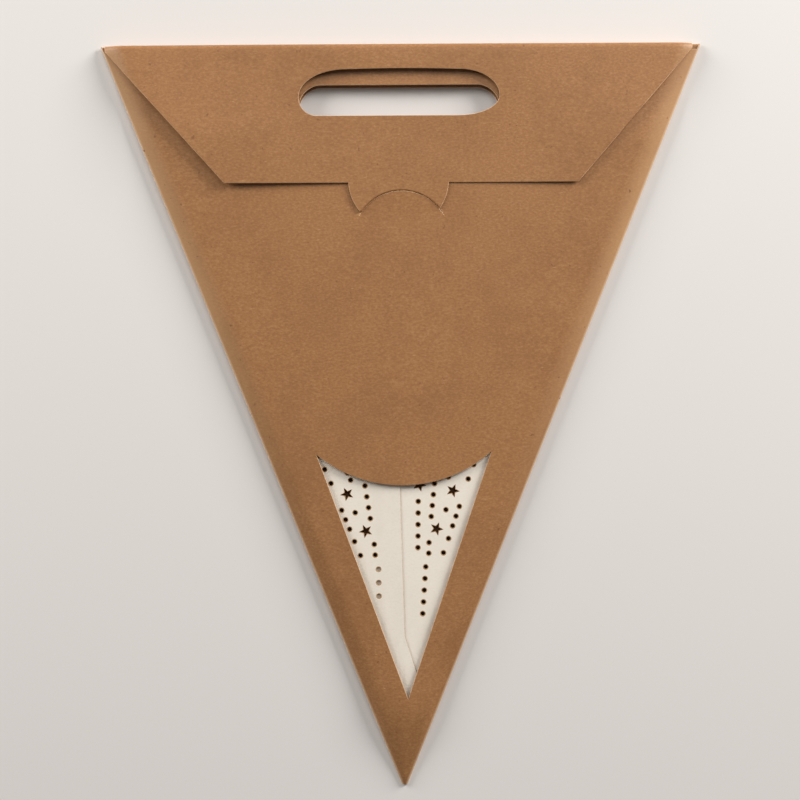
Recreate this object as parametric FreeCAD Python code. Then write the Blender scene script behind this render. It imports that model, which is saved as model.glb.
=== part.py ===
# Folded paper star lantern, packed flat in its triangular kraft card carrier.
# Millimetres. X runs along the carrier's top edge, Y from its tip to its top edge, Z up from the table.
# The carrier lies on its front panel, so its back panel, with the window, faces up.
# The origin is at the middle of the carrier's outline, on the table.

import FreeCAD, Part
import math
import os

from FreeCAD import Placement, Rotation, Vector

# Carrier: one die-cut sheet of card
PANEL_WIDTH = 294.4
PANEL_HEIGHT = 362.5
TIP_WIDTH = 2.6
CARD = 0.5
FOLD_RADIUS = 0.65
SIDE_BAND = 10.5
BAND_SHARE = 0.45
SIDE_LIFT = 0.4
CROWN = 0.8
BACK_END_HEIGHT = 3.2
TOP_EDGE_HEIGHT = 7.0
WRAP_RADIUS = 2.4
WRAP_ANGLES = (0, 20, 40, 60, 80)
GLUE_FLAP_WIDTH = 12.0
GLUE_FLAP_BED = 0.05

# Closing flap, folded over from the top edge, and its tucked tab
FLAP_DEPTH = 67.8
FLAP_EDGE_WIDTH = 172.6
FLAP_GAP = 0.3
LEFT_LIFT = 3.6
RIGHT_LIFT = 1.8
TAB_RADIUS = 24.4
TAB_OFFSET = -1.4
TAB_RISE = 1.4
SLIT_RADIUS = 23.7
SLIT_HALF_CHORD = 20.9
SLIT_DROP = 71.9
SLIT_WIDTH = 1.5
SINK_SHARES = (0.25, 0.5, 0.75, 1.0)

# Handle slot, punched through the flap and both panels; corner radii from top right, counter-clockwise
SLOT_LENGTH = 98.4
SLOT_HEIGHT = 22.4
SLOT_SHIFT = -0.9
FLAP_SLOT_DROP = 12.9
FLAP_SLOT_CORNERS = [(13.7, 13.0), (21.5, 13.0), (9.0, 9.0), (9.0, 8.6)]
PANEL_SLOT_DROP = 19.8
PANEL_SLOT_CORNERS = [(11.2, 11.2)] * 4

# Window in the back panel
WINDOW_DROP = 199.6
WINDOW_WIDTH = 86.0
WINDOW_DEPTH = 121.0
WINDOW_SAG = 16.0
WINDOW_SHIFT = 0.4
WINDOW_TURN = 0.7

# Star lantern: five points, each a glued cone of paper pressed flat
POINT_COUNT = 5
PAPER = 0.25
PLY_GAP = 0.12
POINT_GAP = 0.1
TIP_CLEARANCE = 15.1
SHOULDER_CLEARANCE = 17.6
SHOULDER_SLOT_GAP = 0.4
NOTCH_DEPTH = 68.0
CREASE_BEVEL = 3.0
BED_GAP = 0.35
COVER_GAP = 0.5
STAR_TURN = 1.55
STAR_SHIFT = 1.34
SEAM_WIDTH = 8.0
SEAM_CHAMFER_START = 39.0
SEAM_CHAMFER_END = (4.6, 23.0)

# Punched pattern, as across and along the point from its tip
DOT_RADIUS = 1.15
DOT_SIDES = 12
STAR_RADIUS = 3.5
STAR_WAIST = 1.35
STAR_LEAN = 12.0
MIRRORED_RUNS = [
    ((13.1, 78.8), (13.4, 84.0), 2),
    ((14.9, 96.7), (17.7, 118.1), 5),
    ((22.2, 99.8), (22.2, 99.8), 1),
    ((20.3, 78.8), (23.0, 85.7), 2),
    ((25.2, 91.8), (28.8, 101.2), 3),
    ((23.9, 115.8), (25.3, 119.4), 2),
    ((33.6, 114.5), (39.3, 128.3), 3),
]
RIGHT_RUNS = [((9.2, 49.4), (11.4, 72.2), 5), ((7.9, 81.7), (8.8, 104.3), 5)]
LEFT_RUNS = [((-11.9, 58.7), (-11.7, 71.8), 3)]
MIRRORED_STARS = [(17.3, 90.6), (25.9, 109.0)]
RIGHT_STARS = [(9.7, 112.4)]

TIP_Y = -PANEL_HEIGHT / 2
TOP_Y = PANEL_HEIGHT / 2
WRAP_Y = TOP_Y - WRAP_RADIUS
FLAP_Y = TOP_Y - FLAP_DEPTH
TAPER = (PANEL_WIDTH - TIP_WIDTH) / 2 / PANEL_HEIGHT
STAR_TIP_Y = TIP_Y + (TIP_CLEARANCE - TIP_WIDTH / 2) / TAPER
SHOULDER_Y = TOP_Y - PANEL_SLOT_DROP - SLOT_HEIGHT - SHOULDER_SLOT_GAP
POINT_LENGTH = SHOULDER_Y - STAR_TIP_Y
POINT_PITCH = 3 * PAPER + PLY_GAP + POINT_GAP
PACK_HEIGHT = 2 * CARD + BED_GAP + POINT_COUNT * POINT_PITCH + COVER_GAP
FLAP_STATIONS = [FLAP_Y - TAB_RADIUS - CARD, FLAP_Y, SHOULDER_Y, (SHOULDER_Y + WRAP_Y) / 2, WRAP_Y]
SWELL_STATION = STAR_TIP_Y + 0.2 * POINT_LENGTH
BACK_LEVEL = PACK_HEIGHT / 2
TALL = 8 * PACK_HEIGHT


def half_width(y):
    """Half the carrier's width at a height above its tip."""
    return TIP_WIDTH / 2 + (y - TIP_Y) * TAPER


def pack_height(y, end_height=BACK_END_HEIGHT):
    """Outer height of the carrier, before its crown: a wedge from the tip, then the lantern, then down to the end."""
    at_tip = 2 * FOLD_RADIUS
    if y < STAR_TIP_Y:
        return at_tip + (PACK_HEIGHT - at_tip) * (y - TIP_Y) / (STAR_TIP_Y - TIP_Y)
    if y < SHOULDER_Y:
        return PACK_HEIGHT
    return PACK_HEIGHT + (end_height - PACK_HEIGHT) * (y - SHOULDER_Y) / (TOP_Y - SHOULDER_Y)


def fold_height(y):
    """Height of the side folds' centre above the table."""
    return FOLD_RADIUS + SIDE_LIFT * (pack_height(y) - 2 * FOLD_RADIUS)


def prism(wire, low=-TALL, high=TALL):
    """Upright prism on an outline drawn in plan."""
    base = wire.copy()
    base.translate(Vector(0, 0, low))
    return Part.Face(base).extrude(Vector(0, 0, high - low))


def outline(points):
    """Closed outline through corners in plan."""
    corners = [Vector(x, y, 0) for x, y in points]
    return Part.makePolygon(corners + corners[:1])


def block(x_low, x_high, y_low, y_high, z_low=-TALL, z_high=TALL):
    """Axis-aligned block between two corners."""
    return Part.makeBox(x_high - x_low, y_high - y_low, z_high - z_low, Vector(x_low, y_low, z_low))


def bend(start, steer, end):
    """Smooth edge that leaves start and reaches end along its steering point."""
    curve = Part.BezierCurve()
    curve.setPoles([start, steer, end])
    return curve.toShape()


def panel_edges(xs, place, end, left, right, middle):
    """One panel's section from its right fold to its left: a bend, the wide middle, and a bend."""
    fold, steer, band = xs
    heights = {"right": right, "left": left}
    corners = {side: Vector(sign * band, place, heights[side]) for side, sign in (("right", 1), ("left", -1))}
    steered = {side: Vector(sign * steer, place, heights[side]) for side, sign in (("right", 1), ("left", -1))}
    across = Part.makeLine(corners["right"], corners["left"])
    if middle is not None:
        crest = Vector(0, place, 2 * middle - (left + right) / 2)
        across = bend(corners["right"], crest, corners["left"])
    right_bend = bend(Vector(fold, place, end), steered["right"], corners["right"])
    left_bend = bend(corners["left"], steered["left"], Vector(-fold, place, end))
    return [right_bend, across, left_bend]


def section(y, skin, drop=0.0, left_lift=0.0, right_lift=0.0, at=None):
    """Closed section of the carrier at one height.

    skin is outer, inner, over or under: the carrier's own faces, and the two faces of the closing flap above it.
    drop presses top and bottom together, as where the card wraps round the top edge.
    """
    place = y if at is None else at
    floor = 0.0 if skin in ("outer", "over") else CARD
    rise = {"outer": 0.0, "inner": -CARD, "under": FLAP_GAP, "over": FLAP_GAP + CARD}[skin]
    end_height = TOP_EDGE_HEIGHT if skin in ("over", "under") else BACK_END_HEIGHT
    level = pack_height(y, end_height) + rise
    low_end = fold_height(y) - FOLD_RADIUS + floor
    high_end = fold_height(y) + FOLD_RADIUS + rise
    share = 2 * drop / (level - floor)
    pinch = (high_end - low_end) * share / 2
    fold = half_width(place) - FOLD_RADIUS
    band = min(SIDE_BAND, BAND_SHARE * fold)
    xs = (fold, fold - band / 2, fold - band)
    top = level - drop
    high = panel_edges(xs, place, high_end - pinch, top + left_lift, top + right_lift, top + CROWN * (1 - share))
    low = panel_edges(xs, place, low_end + pinch, floor + drop, floor + drop, None)
    low = [edge.reversed() for edge in reversed(low)]
    side = half_width(place) - floor
    middle = (low_end + high_end) / 2
    right = [Vector(fold, place, low_end + pinch), Vector(side, place, middle), Vector(fold, place, high_end - pinch)]
    left = [Vector(-point.x, point.y, point.z) for point in reversed(right)]
    folds = [[Part.makeLine(p[0], p[1]), Part.makeLine(p[1], p[2])] for p in (right, left)]
    return Part.Wire(folds[0] + high + folds[1] + low)


def facing(face):
    """Outward normal near the middle of a face."""
    u, v = face.Surface.parameter(face.CenterOfMass)
    return face.normalAt(u, v)


def straight_loft(rings):
    """Solid with straight rulings between its sections, its flat faces drawn as planes."""
    faces = []
    for face in Part.makeLoft(rings, True, True).Faces:
        plane = face.findPlane()
        if plane:
            flat = Part.Face(plane, face.OuterWire)
            face = flat if facing(flat).dot(facing(face)) > 0 else flat.reversed()
        faces.append(face)
    return Part.Solid(Part.Shell(faces))


def tube(skin, start):
    """Solid inside one skin of the carrier, from a start height to the wrap."""
    return straight_loft([section(y, skin) for y in [start, STAR_TIP_Y, SWELL_STATION] + FLAP_STATIONS])


def wrap():
    """Card carried round the open end of the pack, from the front panel to the closing flap."""

    def bullnose(skin, radius):
        rings = []
        last = math.radians(WRAP_ANGLES[-1])
        for angle in map(math.radians, WRAP_ANGLES):
            drop = radius * (1 - math.cos(angle)) / (1 - math.cos(last))
            reach = radius * math.sin(angle) / math.sin(last)
            rings.append(section(WRAP_Y, skin, drop, at=WRAP_Y + reach))
        return straight_loft(rings)

    return bullnose("over", WRAP_RADIUS).cut(bullnose("under", WRAP_RADIUS - CARD))


def handle_slot(drop, corners):
    """Outline of the handle slot a given way below the top edge, each corner a quarter of an ellipse."""
    right, left = SLOT_SHIFT + SLOT_LENGTH / 2, SLOT_SHIFT - SLOT_LENGTH / 2
    high, low = TOP_Y - drop, TOP_Y - drop - SLOT_HEIGHT
    places = [(right, high, -1, -1), (left, high, 1, -1), (left, low, 1, 1), (right, low, -1, 1)]
    bends = []
    for quarter, ((x, y, inward_x, inward_y), (wide, tall)) in enumerate(zip(places, corners)):
        centre = Vector(x + inward_x * wide, y + inward_y * tall, 0)
        ellipse = Part.Ellipse(centre, wide, tall)
        bends.append(Part.ArcOfEllipse(ellipse, math.pi / 2 * quarter, math.pi / 2 * (quarter + 1)))
    edges = []
    for bend_here, bend_next in zip(bends, bends[1:] + bends[:1]):
        edges.append(bend_here.toShape())
        if not bend_here.EndPoint.isEqual(bend_next.StartPoint, CARD / 100):
            edges.append(Part.makeLine(bend_here.EndPoint, bend_next.StartPoint))
    return Part.Wire(edges)


def window():
    """Window outline: a triangle whose top edge sags in an arc."""
    top = TOP_Y - WINDOW_DROP
    left = Vector(-WINDOW_WIDTH / 2, top, 0)
    right = Vector(WINDOW_WIDTH / 2, top, 0)
    low = Vector(0, top - WINDOW_DEPTH, 0)
    sag = Part.Arc(left, Vector(0, top - WINDOW_SAG, 0), right).toShape()
    wire = Part.Wire([sag, Part.makeLine(right, low), Part.makeLine(low, left)])
    wire.rotate(Vector(0, top, 0), Vector(0, 0, 1), WINDOW_TURN)
    wire.translate(Vector(WINDOW_SHIFT, 0, 0))
    return wire


def slit_centre():
    """Centre of the slit's arc, which is convex towards the top edge."""
    return Vector(0, TOP_Y - SLIT_DROP - SLIT_RADIUS, 0)


def disc(centre, radius):
    """Upright cylinder through every layer."""
    return Part.makeCylinder(radius, 2 * TALL, Vector(centre.x, centre.y, -TALL))


def slit():
    """Arc slit that takes the tab."""
    centre = slit_centre()
    ring = disc(centre, SLIT_RADIUS + SLIT_WIDTH / 2).cut(disc(centre, SLIT_RADIUS - SLIT_WIDTH / 2))
    end_y = centre.y + math.sqrt(SLIT_RADIUS**2 - SLIT_HALF_CHORD**2)
    return ring.common(block(-2 * SLIT_RADIUS, 2 * SLIT_RADIUS, end_y, TOP_Y, BACK_LEVEL, TALL))


def flap_zone():
    """Plan of the closing flap, down to the straight edge that carries the tab."""
    edge = FLAP_EDGE_WIDTH / 2
    corner = PANEL_WIDTH / 2
    at_wrap = corner - (corner - edge) * WRAP_RADIUS / FLAP_DEPTH
    return prism(outline([(-edge, FLAP_Y), (edge, FLAP_Y), (at_wrap, WRAP_Y), (-at_wrap, WRAP_Y)]))


def flap_sheet():
    """Closing flap: a sheet that rides over the back panel and lifts along its free edges."""

    def skin(name):
        rings = []
        for y in FLAP_STATIONS:
            share = min(1.0, (WRAP_Y - y) / (WRAP_Y - SHOULDER_Y))
            rings.append(section(y, name, left_lift=LEFT_LIFT * share, right_lift=RIGHT_LIFT * share))
        return straight_loft(rings)

    back_zone = block(-PANEL_WIDTH, PANEL_WIDTH, TIP_Y, TOP_Y, fold_height(TOP_Y))
    layer = skin("over").cut(skin("under")).common(back_zone)
    tab_centre = Vector(TAB_OFFSET, FLAP_Y + TAB_RISE, 0)
    tab = disc(tab_centre, TAB_RADIUS).common(block(-TALL, TALL, TIP_Y, FLAP_Y + TAB_RISE))
    shown = tab.cut(disc(slit_centre(), SLIT_RADIUS - CARD / 2))
    tucked = tab.common(disc(slit_centre(), SLIT_RADIUS + CARD / 2))
    over = layer.common(flap_zone().fuse(shown))
    over = over.cut(prism(handle_slot(FLAP_SLOT_DROP, FLAP_SLOT_CORNERS)))
    sink = 2 * CARD + 2 * FLAP_GAP
    under = layer.common(tucked)
    under.translate(Vector(0, 0, -sink))
    ring = disc(slit_centre(), SLIT_RADIUS + CARD / 2).cut(disc(slit_centre(), SLIT_RADIUS - CARD / 2))
    ring = ring.common(tab)
    step = layer.common(ring)
    for share in SINK_SHARES:
        lower = layer.common(ring)
        lower.translate(Vector(0, 0, -sink * share))
        step = step.fuse(lower)
    return over.fuse([step, under])


def glue_flap(shell):
    """Inner strip along the left fold, on which the back panel is glued down."""
    low = TIP_Y + 3 * GLUE_FLAP_WIDTH
    high = SHOULDER_Y
    fold_line = [(-half_width(y) + 2 * FOLD_RADIUS + CARD, y) for y in (low, high)]
    inner_line = [(-half_width(y) + GLUE_FLAP_WIDTH, y) for y in (high - GLUE_FLAP_WIDTH, low + GLUE_FLAP_WIDTH)]
    strip = shell.common(prism(outline(fold_line + inner_line), BACK_LEVEL, TALL))
    strip.translate(Vector(0, 0, GLUE_FLAP_BED - CARD))
    return strip


def carrier():
    """Folded card carrier: front panel, back panel, glue flap, closing flap and tab in one sheet."""
    body = tube("outer", TIP_Y)
    hollow = tube("inner", TIP_Y + 4 * FOLD_RADIUS)
    shell = body.cut(hollow)
    shell = shell.fuse(glue_flap(shell))
    shell = shell.cut(prism(window(), BACK_LEVEL, TALL))
    shell = shell.cut(prism(handle_slot(PANEL_SLOT_DROP, PANEL_SLOT_CORNERS)))
    shell = shell.cut(slit())
    open_end = block(-PANEL_WIDTH, PANEL_WIDTH, WRAP_Y - CARD, TOP_Y, fold_height(TOP_Y))
    shell = shell.cut(open_end)
    return shell.fuse([wrap(), flap_sheet()])


def point_outline(inset, open_end):
    """Corners of one flattened point: tip, shoulder, notch, shoulder, with its creases drawn in."""
    shoulder = half_width(SHOULDER_Y) - SHOULDER_CLEARANCE
    edge = math.hypot(shoulder, POINT_LENGTH)
    tip = inset * edge / shoulder
    slope = NOTCH_DEPTH / shoulder
    valley = POINT_LENGTH - NOTCH_DEPTH + open_end
    reach = (valley - tip) / (POINT_LENGTH / shoulder - slope)
    return [(0, tip), (reach, valley + slope * reach), (0, valley), (-reach, valley + slope * reach)]


def level_outline(corners, height):
    """Closed outline at a level."""
    wire = outline(corners)
    wire.translate(Vector(0, 0, height))
    return wire


def pressed_cone(base, height, inset, open_end):
    """Flattened point: a crease half way up each long side, and a flat ply above and below."""
    middle = level_outline(point_outline(inset, open_end), base + height / 2)
    top = level_outline(point_outline(inset + CREASE_BEVEL, open_end), base + height)
    bottom = level_outline(point_outline(inset + CREASE_BEVEL, open_end), base)
    upper = Part.makeLoft([middle, top], True, True)
    lower = Part.makeLoft([bottom, middle], True, True)
    return upper.fuse(lower)


def dots(runs):
    """Centres of evenly spaced dots along straight runs."""
    centres = []
    for start, end, count in runs:
        for i in range(count):
            share = i / max(1, count - 1)
            centres.append((start[0] + (end[0] - start[0]) * share, start[1] + (end[1] - start[1]) * share))
    return centres


def star_cutter(x, y, lean):
    """Five-pointed punch."""
    points = []
    for i in range(10):
        angle = math.radians(lean - 90 + 36 * i)
        radius = STAR_WAIST if i % 2 else STAR_RADIUS
        points.append((x + radius * math.cos(angle), y + radius * math.sin(angle)))
    return outline(points)


def punches():
    """Every punched hole of the shown face, as outlines in plan."""
    mirrored = dots(MIRRORED_RUNS)
    centres = mirrored + [(-x, y) for x, y in mirrored] + dots(RIGHT_RUNS) + dots(LEFT_RUNS)
    wires = []
    for x, y in centres:
        angles = [2 * math.pi * i / DOT_SIDES for i in range(DOT_SIDES)]
        wires.append(outline([(x + DOT_RADIUS * math.cos(a), y + DOT_RADIUS * math.sin(a)) for a in angles]))
    for x, y in MIRRORED_STARS:
        wires.append(star_cutter(x, y, STAR_LEAN))
        wires.append(star_cutter(-x, y, -STAR_LEAN))
    for x, y in RIGHT_STARS:
        wires.append(star_cutter(x, y, STAR_LEAN))
    return wires


def seam(level):
    """Glued overlap that runs up the middle of a point's shown face."""
    valley = POINT_LENGTH - NOTCH_DEPTH
    chamfer_x, chamfer_y = SEAM_CHAMFER_END
    corners = [(0, valley), (0, SEAM_CHAMFER_START), (chamfer_x, chamfer_y), (-SEAM_WIDTH / 2, chamfer_y)]
    corners += [(-SEAM_WIDTH, chamfer_y + SEAM_WIDTH), (-SEAM_WIDTH, valley)]
    return prism(outline(corners), level - PAPER / 2, level + PAPER)


def star_point(number):
    """One point of the lantern, counted from the window down."""
    base = CARD + BED_GAP + (POINT_COUNT - number) * POINT_PITCH
    thickness = 2 * PAPER + PLY_GAP
    hollow = pressed_cone(base + PAPER, PLY_GAP, 3 * PAPER, 4 * PAPER)
    solid = pressed_cone(base, thickness, 0.0, 0.0).cut(hollow).fuse(seam(base + thickness))
    if number == 1:
        middle = base + thickness / 2
        holes = [prism(wire, middle, TALL) for wire in punches()]
        solid = solid.cut(Part.makeCompound(holes))
    solid = solid.removeSplitter()
    turn = Rotation(Vector(0, 0, 1), STAR_TURN)
    solid.Placement = Placement(Vector(STAR_SHIFT, STAR_TIP_Y, 0), turn)
    return solid


def build():
    """Every piece by its node name."""
    pieces = {"carrier": carrier()}
    for number in range(1, POINT_COUNT + 1):
        pieces["star_point_" + str(number)] = star_point(number)
    return pieces


os.makedirs("parts", exist_ok=True)
for node, shape in build().items():
    shape.exportStep("parts/" + node + ".step")
    box = shape.optimalBoundingBox()
    print(node, len(shape.Solids), "solid", shape.isValid(), round(shape.Volume, 1), "mm3", box)
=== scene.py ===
# %% [markdown]
# # A paper star lantern, folded flat in its kraft card carrier
# The carrier is one die-cut sheet of brown card, folded into a flat triangular pocket. Inside lie the five
# points of a white paper star lantern, each pressed flat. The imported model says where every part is, so it is
# loaded first and every piece below is built around it, in metres.

import math

import bmesh
import bpy
import numpy as np
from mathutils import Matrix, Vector, geometry


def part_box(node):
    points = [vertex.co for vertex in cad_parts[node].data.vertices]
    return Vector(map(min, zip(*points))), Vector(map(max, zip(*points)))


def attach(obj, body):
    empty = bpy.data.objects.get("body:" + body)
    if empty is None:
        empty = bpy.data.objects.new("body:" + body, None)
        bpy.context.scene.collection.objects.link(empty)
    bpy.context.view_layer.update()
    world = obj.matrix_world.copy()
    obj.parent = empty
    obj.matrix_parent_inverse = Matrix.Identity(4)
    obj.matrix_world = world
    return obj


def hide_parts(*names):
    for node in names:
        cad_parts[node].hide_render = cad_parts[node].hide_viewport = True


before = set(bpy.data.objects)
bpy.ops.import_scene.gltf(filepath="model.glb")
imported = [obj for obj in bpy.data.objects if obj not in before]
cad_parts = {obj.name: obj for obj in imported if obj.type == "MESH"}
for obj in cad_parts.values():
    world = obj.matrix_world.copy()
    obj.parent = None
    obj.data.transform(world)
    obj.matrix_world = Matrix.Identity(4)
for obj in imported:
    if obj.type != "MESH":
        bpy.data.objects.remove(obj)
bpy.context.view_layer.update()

# %% [markdown]
# ## Sizes
# The outline comes from the frame. The other sizes are the real ones, as they were measured for the model:
# the thickness of the card, the radius of its folds, and the way that the pocket swells from its tip over the
# lantern. Every height below is worked out from them, so one changed value moves all that depends on it.

# %% Sizes of the carrier
MM = 0.001
carrier_low, carrier_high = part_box("carrier")
TIP_Y, TOP_Y = carrier_low.y, carrier_high.y
PANEL_WIDTH = carrier_high.x - carrier_low.x
TIP_WIDTH = 2.6 * MM
TAPER = (PANEL_WIDTH - TIP_WIDTH) / 2 / (TOP_Y - TIP_Y)
CARD = 0.5 * MM
FOLD_RADIUS = 0.65 * MM
SIDE_BAND = 10.5 * MM
SIDE_LIFT = 0.4
CROWN = 0.8 * MM
WRAP_RADIUS = 2.4 * MM
WRAP_Y = TOP_Y - WRAP_RADIUS
BACK_END_Y = WRAP_Y - CARD
TIP_THICKNESS = 2 * FOLD_RADIUS
BACK_END_HEIGHT = 3.2 * MM
TOP_EDGE_HEIGHT = 7.0 * MM
print("Panels", round(PANEL_WIDTH / MM, 1), "by", round((TOP_Y - TIP_Y) / MM, 1), "mm")

# %% Sizes of the lantern points
POINT_COUNT = 5
PAPER = 0.25 * MM
PLY_GAP = 0.12 * MM
POINT_PITCH = 3 * PAPER + PLY_GAP + 0.1 * MM
BED_GAP = 0.35 * MM
COVER_GAP = 0.5 * MM
SHOULDER_Y = TOP_Y - 42.6 * MM
STAR_TIP_Y = TIP_Y + (15.1 * MM - TIP_WIDTH / 2) / TAPER
PACK_THICKNESS = 2 * CARD + BED_GAP + POINT_COUNT * POINT_PITCH + COVER_GAP
pack_ends = [round(y / MM, 1) for y in (STAR_TIP_Y, SHOULDER_Y)]
print("Pack", round(PACK_THICKNESS / MM, 2), "mm thick, from and to y", pack_ends)

# %% [markdown]
# ## The shape of the pocket
# A filled card pocket has a flat front on the table, soft folds along its two long sides, and a back panel
# that rises over the contents and bends down to the folds. Heights written as functions of x and y let one
# sheet of card be drawn in plan, as a die would cut it, and then be lifted into its folded shape.


# %% Widths and heights of the pocket
def half_width(y):
    """Half the carrier's width at a place between its tip and its top edge."""
    return TIP_WIDTH / 2 + (y - TIP_Y) * TAPER


def fold_line(y):
    """How far out the side fold starts to turn."""
    return half_width(y) - FOLD_RADIUS


EASE_STEP = 2.5 * MM
PLAIN_TIP = 12 * MM
SMALL_BAND_SHARE = 0.45
RIPPLE = 0.07 * MM


def pack_height(y, end_height=BACK_END_HEIGHT):
    """Outer height of the pocket, eased where the lantern begins and ends, and sagging past its end."""
    places = [TIP_Y, STAR_TIP_Y, SHOULDER_Y, TOP_Y]
    heights = [TIP_THICKNESS, PACK_THICKNESS, PACK_THICKNESS, end_height]
    eased = [np.interp(y + step * EASE_STEP, places, heights) for step in range(-3, 4)]
    raw = np.interp(y, places, heights)
    near_tip = np.clip((y - TIP_Y) / PLAIN_TIP, 0, 1)
    return raw + (np.mean(eased, axis=0) - raw) * near_tip


def fold_height(y):
    """Height of the side folds' centre above the table."""
    return FOLD_RADIUS + SIDE_LIFT * (pack_height(y) - TIP_THICKNESS)


def side_band(y):
    """Width of the bend beside a side fold."""
    return np.minimum(SIDE_BAND, SMALL_BAND_SHARE * fold_line(y))


def side_share(x, y):
    """0 over the flat of a panel, rising to 1 at its side fold."""
    return np.clip((np.abs(x) - fold_line(y) + side_band(y)) / side_band(y), 0, 1)


def across(x, y):
    """-1 at the left end of a panel's flat, 0 in the middle and 1 at its right end."""
    return np.clip(x / (fold_line(y) - side_band(y)), -1, 1)


def ripple(x, y):
    """Slight waves of card that has been handled, dying out at the side folds."""
    waves = np.sin(x * 41 + y * 23 + 0.7) + np.sin(x * 67 - y * 49 + 2.1) + 0.6 * np.sin(y * 118 + x * 31)
    return RIPPLE * waves * (1 - side_share(x, y) ** 2)


def front_height(x, y):
    """Outer face of the front panel, which lies on the table."""
    return (fold_height(y) - FOLD_RADIUS) * side_share(x, y) ** 2


def back_level(x, y, end_height=BACK_END_HEIGHT):
    """Outer face of the back panel before it is cut, or of a cover that ends at another height."""
    level = pack_height(y, end_height)
    end = fold_height(y) + FOLD_RADIUS
    crowned = level + CROWN * (1 - across(x, y) ** 2)
    return crowned - (level - end) * side_share(x, y) ** 2 + ripple(x, y)


for place in (TIP_Y, STAR_TIP_Y, 0, SHOULDER_Y, WRAP_Y):
    height = float(back_level(0.0, place))
    width = half_width(place)
    print("y", round(place / MM, 1), "half width", round(width / MM, 1), "height", round(height / MM, 2))

# %% [markdown]
# ## Outlines cut by the die
# Card is cut with bent steel rules, so its outlines are straight runs and arcs. Each outline here is a closed
# loop of points in plan. Straight runs are divided so that the card can bend between the points.


# %% Outline helpers
STEP = 3.0 * MM


def run(start, end, step=STEP):
    """Points from start towards end, without the end, at most a step apart."""
    start, end = np.array(start, float), np.array(end, float)
    count = max(1, math.ceil(np.linalg.norm(end - start) / step))
    return [tuple(start + (end - start) * i / count) for i in range(count)]


def polygon(corners, step=STEP):
    """Closed loop through corners, with its sides divided."""
    following = corners[1:] + corners[:1]
    return [point for a, b in zip(corners, following) for point in run(a, b, step)]


def arc(centre, radii, start, end, count):
    """Points on part of an ellipse, angles in degrees, ends included."""
    angles = np.radians(np.linspace(start, end, count + 1))
    return [(centre[0] + radii[0] * math.cos(a), centre[1] + radii[1] * math.sin(a)) for a in angles]


# %% [markdown]
# The handle slot goes through the flap and both panels. Its ends are rounded for the fingers. In the flap,
# which takes the strain of the hand, its corners are drawn out and its upper edge is bowed up.

# %% Handle slot
SLOT_LENGTH = 98.4 * MM
SLOT_HEIGHT = 22.4 * MM
SLOT_SHIFT = -0.9 * MM
FLAP_SLOT_DROP = 12.9 * MM
PANEL_SLOT_DROP = 19.8 * MM
FLAP_SLOT_CORNERS = [(18.5, 12.5), (21.5, 13.0), (9.0, 9.0), (20.0, 9.6)]
PANEL_SLOT_CORNERS = [(11.2, 11.2)] * 4
CORNER_STEPS = 14
FRONT_SLOT_SLIP = 0.8 * MM
FLAP_SLOT_BOW = 0.9 * MM


def slot_loop(drop, corners):
    """Slot outline, a drop below the top edge; corner radii in mm, counter-clockwise from top right."""
    right, left = SLOT_SHIFT + SLOT_LENGTH / 2, SLOT_SHIFT - SLOT_LENGTH / 2
    high, low = TOP_Y - drop, TOP_Y - drop - SLOT_HEIGHT
    places = [(right, high, -1, -1), (left, high, 1, -1), (left, low, 1, 1), (right, low, -1, 1)]
    loop = []
    for i, ((x, y, inward_x, inward_y), radii) in enumerate(zip(places, corners)):
        rx, ry = (radius * MM for radius in radii)
        loop += arc((x + inward_x * rx, y + inward_y * ry), (rx, ry), 90 * i, 90 * i + 90, CORNER_STEPS)
    return polygon(loop)


def bowed(loop, bow):
    """Loop whose upper edge is bowed up in the middle."""
    middle_y = np.mean([y for _, y in loop])
    reach = [np.clip(1 - (2 * (x - SLOT_SHIFT) / SLOT_LENGTH) ** 2, 0, 1) ** 2 for x, _ in loop]
    return [(x, y + bow * float(share) if y > middle_y else y) for (x, y), share in zip(loop, reach)]


flap_slot = bowed(slot_loop(FLAP_SLOT_DROP, FLAP_SLOT_CORNERS), FLAP_SLOT_BOW)
back_slot = slot_loop(PANEL_SLOT_DROP, PANEL_SLOT_CORNERS)
front_slot = slot_loop(PANEL_SLOT_DROP + FRONT_SLOT_SLIP, PANEL_SLOT_CORNERS)
print("Slot loops of", len(flap_slot), "and", len(back_slot), "points")

# %% [markdown]
# The window is a narrow triangle that shows the lantern, and its top edge sags in an arc. It was cut a little
# out of square, so the loop is turned and shifted.

# %% Window
WINDOW_TOP = TOP_Y - 199.6 * MM
WINDOW_WIDTH = 86.0 * MM
WINDOW_DEPTH = 121.0 * MM
WINDOW_SAG = 16.0 * MM
SAG_SIDES = 40
WINDOW_SHIFT = 0.4 * MM
WINDOW_TURN = math.radians(0.7)


def window_loop():
    """Window outline, counter-clockwise from its top left corner."""
    half = WINDOW_WIDTH / 2
    radius = (half**2 + WINDOW_SAG**2) / (2 * WINDOW_SAG)
    opening = math.degrees(math.asin(half / radius))
    centre = (0, WINDOW_TOP + radius - WINDOW_SAG)
    sag = arc(centre, (radius, radius), -90 + opening, -90 - opening, SAG_SIDES)
    loop = polygon([(-half, WINDOW_TOP), (0, WINDOW_TOP - WINDOW_DEPTH), (half, WINDOW_TOP)])
    sides = loop[: 1 + loop.index((half, WINDOW_TOP))]
    turn, lift = complex(math.cos(WINDOW_TURN), math.sin(WINDOW_TURN)), complex(0, WINDOW_TOP)
    turned = [(complex(x, y) - lift) * turn + lift for x, y in sides[:-1] + sag[:-1]]
    return [(point.real + WINDOW_SHIFT, point.imag) for point in turned]


window = window_loop()
print("Window loop of", len(window), "points")

# %% [markdown]
# The flap's tab goes down through an arc slit and under the tongue that the slit frees. The tongue lies a
# little higher than the panel, so its cut edge catches the light. The slit is wider where the tab passes, and
# its ends are only as wide as the knife.

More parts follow.
